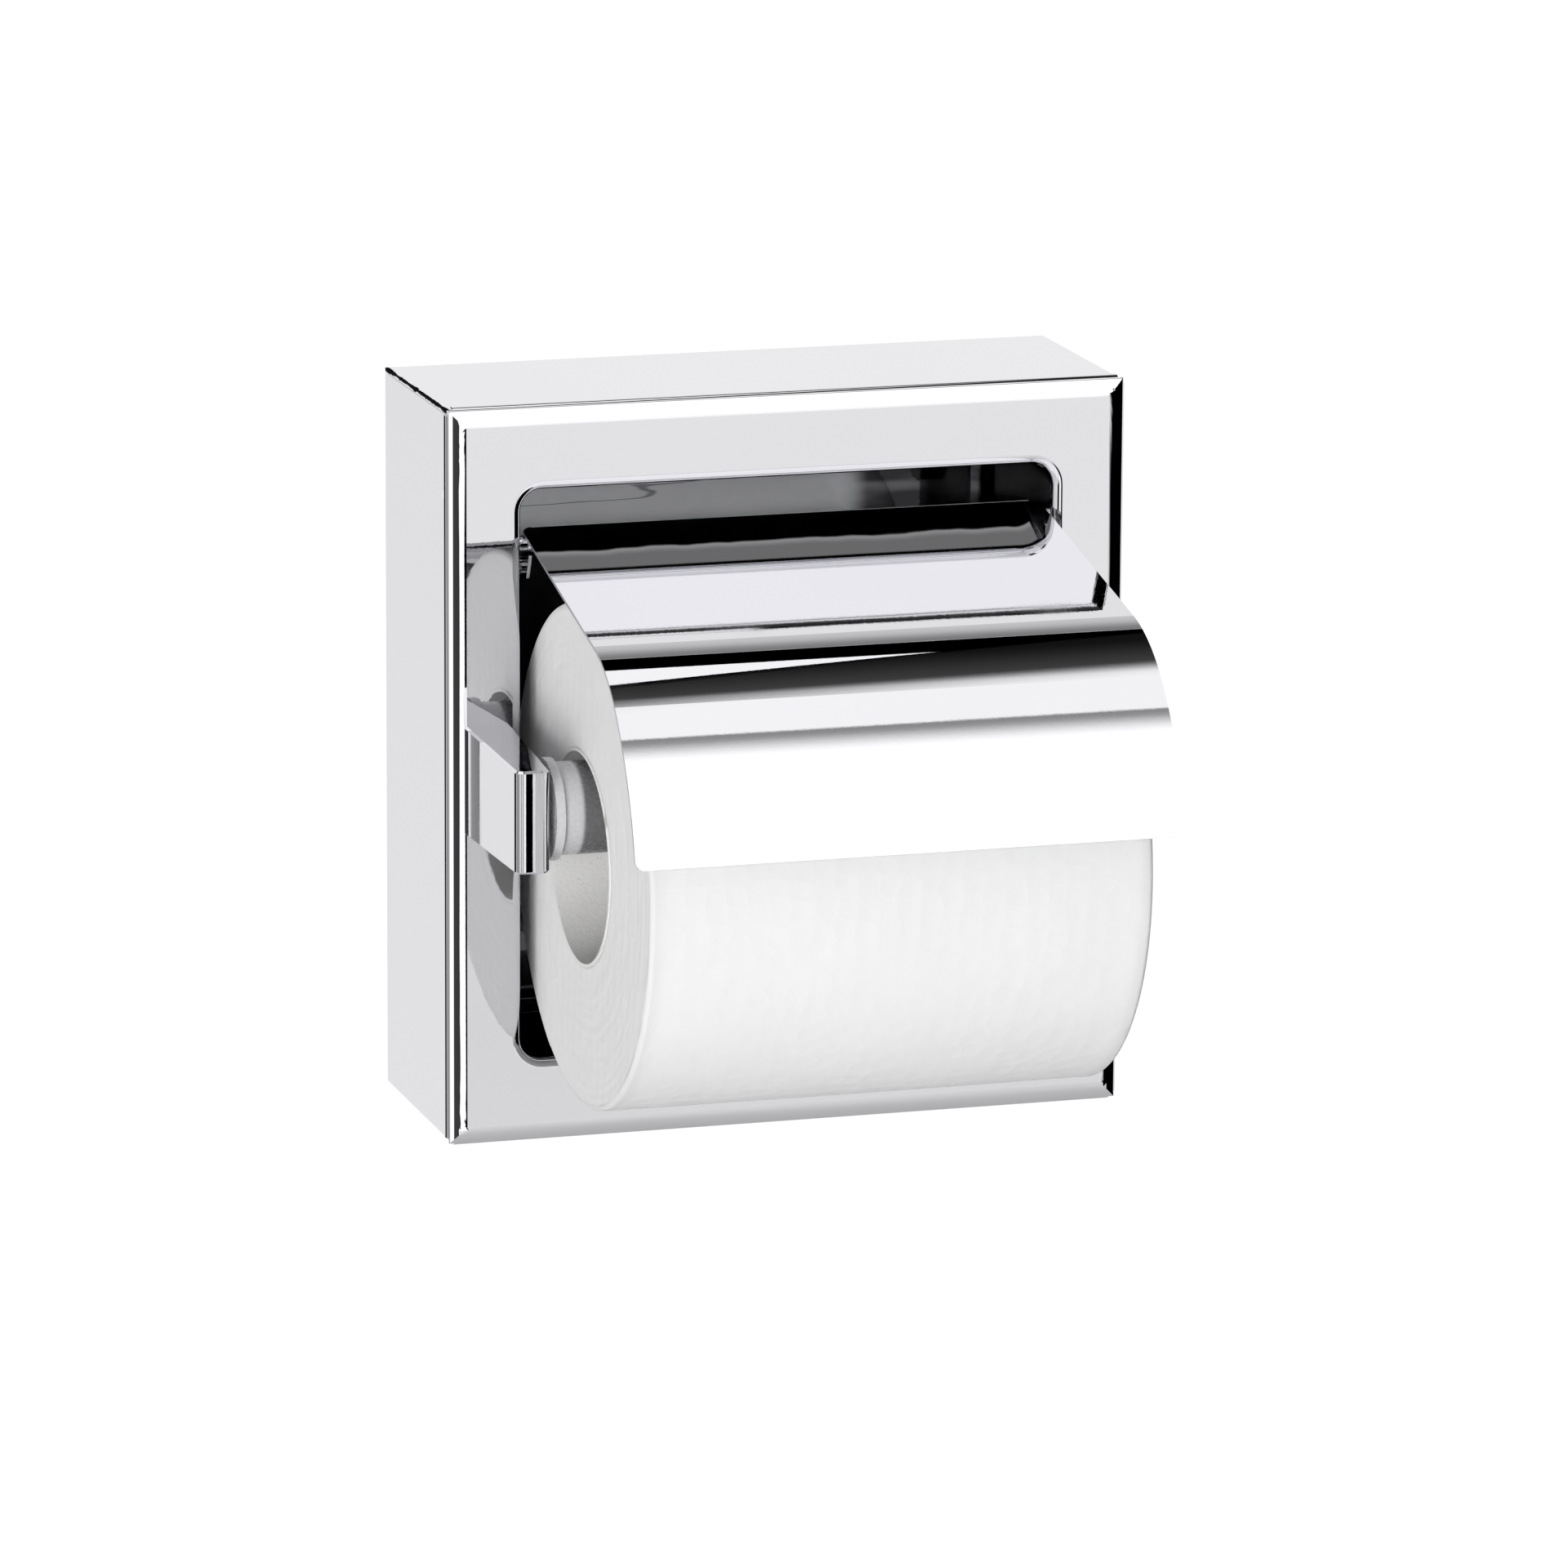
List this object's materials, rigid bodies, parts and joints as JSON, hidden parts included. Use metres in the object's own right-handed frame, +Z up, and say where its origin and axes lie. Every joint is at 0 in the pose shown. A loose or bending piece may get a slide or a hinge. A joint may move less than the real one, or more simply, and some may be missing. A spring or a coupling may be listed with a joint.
{
  "type": "toilet paper dispenser",
  "caption": "Surface-mounted steel toilet paper dispenser with a hinged hood over a full roll on a spring spindle between tapered posts.",
  "frame": {"origin": "centre of the back face, on the wall", "axes": "+Z up, +Y into the wall, so the front faces -Y, and +X to the right seen from the front"},
  "size_m": [0.1566, 0.1477, 0.1682],
  "materials": {
    "steel": "bright polished stainless steel",
    "zinc_steel": "zinc plated steel",
    "spindle_plastic": "smooth light grey moulded plastic",
    "paper": "soft white tissue",
    "cardboard": "pale spiral-wound card"
  },
  "bodies": {
    "body": {"surface_collar": "steel", "recess_housing": "steel", "hinge_pin_left": "steel", "hinge_pin_right": "steel", "hinge_spacer_left": "steel", "hinge_spacer_right": "steel", "hood_stop_left": "steel", "hood_stop_right": "steel", "left_post": "steel", "right_post": "steel", "wall_bracket": "zinc_steel", "bracket_nut": "zinc_steel", "left_backing_plate": "zinc_steel", "right_backing_plate": "zinc_steel", "set_screw": "zinc_steel", "post_screw_left_lower": "zinc_steel", "post_screw_left_upper": "zinc_steel", "post_screw_right_lower": "zinc_steel", "post_screw_right_upper": "zinc_steel"},
    "hood": {"hood": "steel"},
    "roll": {"paper_roll": "paper", "roll_core": "cardboard"},
    "spindle": {"spindle_sleeve": "spindle_plastic", "spindle_spring": "zinc_steel"},
    "plunger": {"spindle_plunger": "spindle_plastic"}
  },
  "joints": [
    {"name": "hood_swing", "type": "hinge", "parent": "body", "child": "hood", "pos_m": [0, -0.051, 0.0516], "axis": [-1, 0, 0], "range_deg": [0, 69]},
    {"name": "roll_turn", "type": "hinge", "parent": "body", "child": "roll", "pos_m": [0, -0.0865, -0.0113], "axis": [1, 0, 0], "continuous": true},
    {"name": "spindle_turn", "type": "hinge", "parent": "body", "child": "spindle", "pos_m": [0, -0.0865, 0], "axis": [1, 0, 0], "continuous": true},
    {"name": "plunger_push", "type": "slide", "parent": "spindle", "child": "plunger", "axis": [1, 0, 0], "range_m": [0, 0.008], "stiffness_N_per_m": 600, "springref_m": -0.014, "deforming": ["spindle_spring"]}
  ],
  "couplings": [
    {"joint": "spindle_turn", "follows": "roll_turn", "ratio": 1.958}
  ]
}
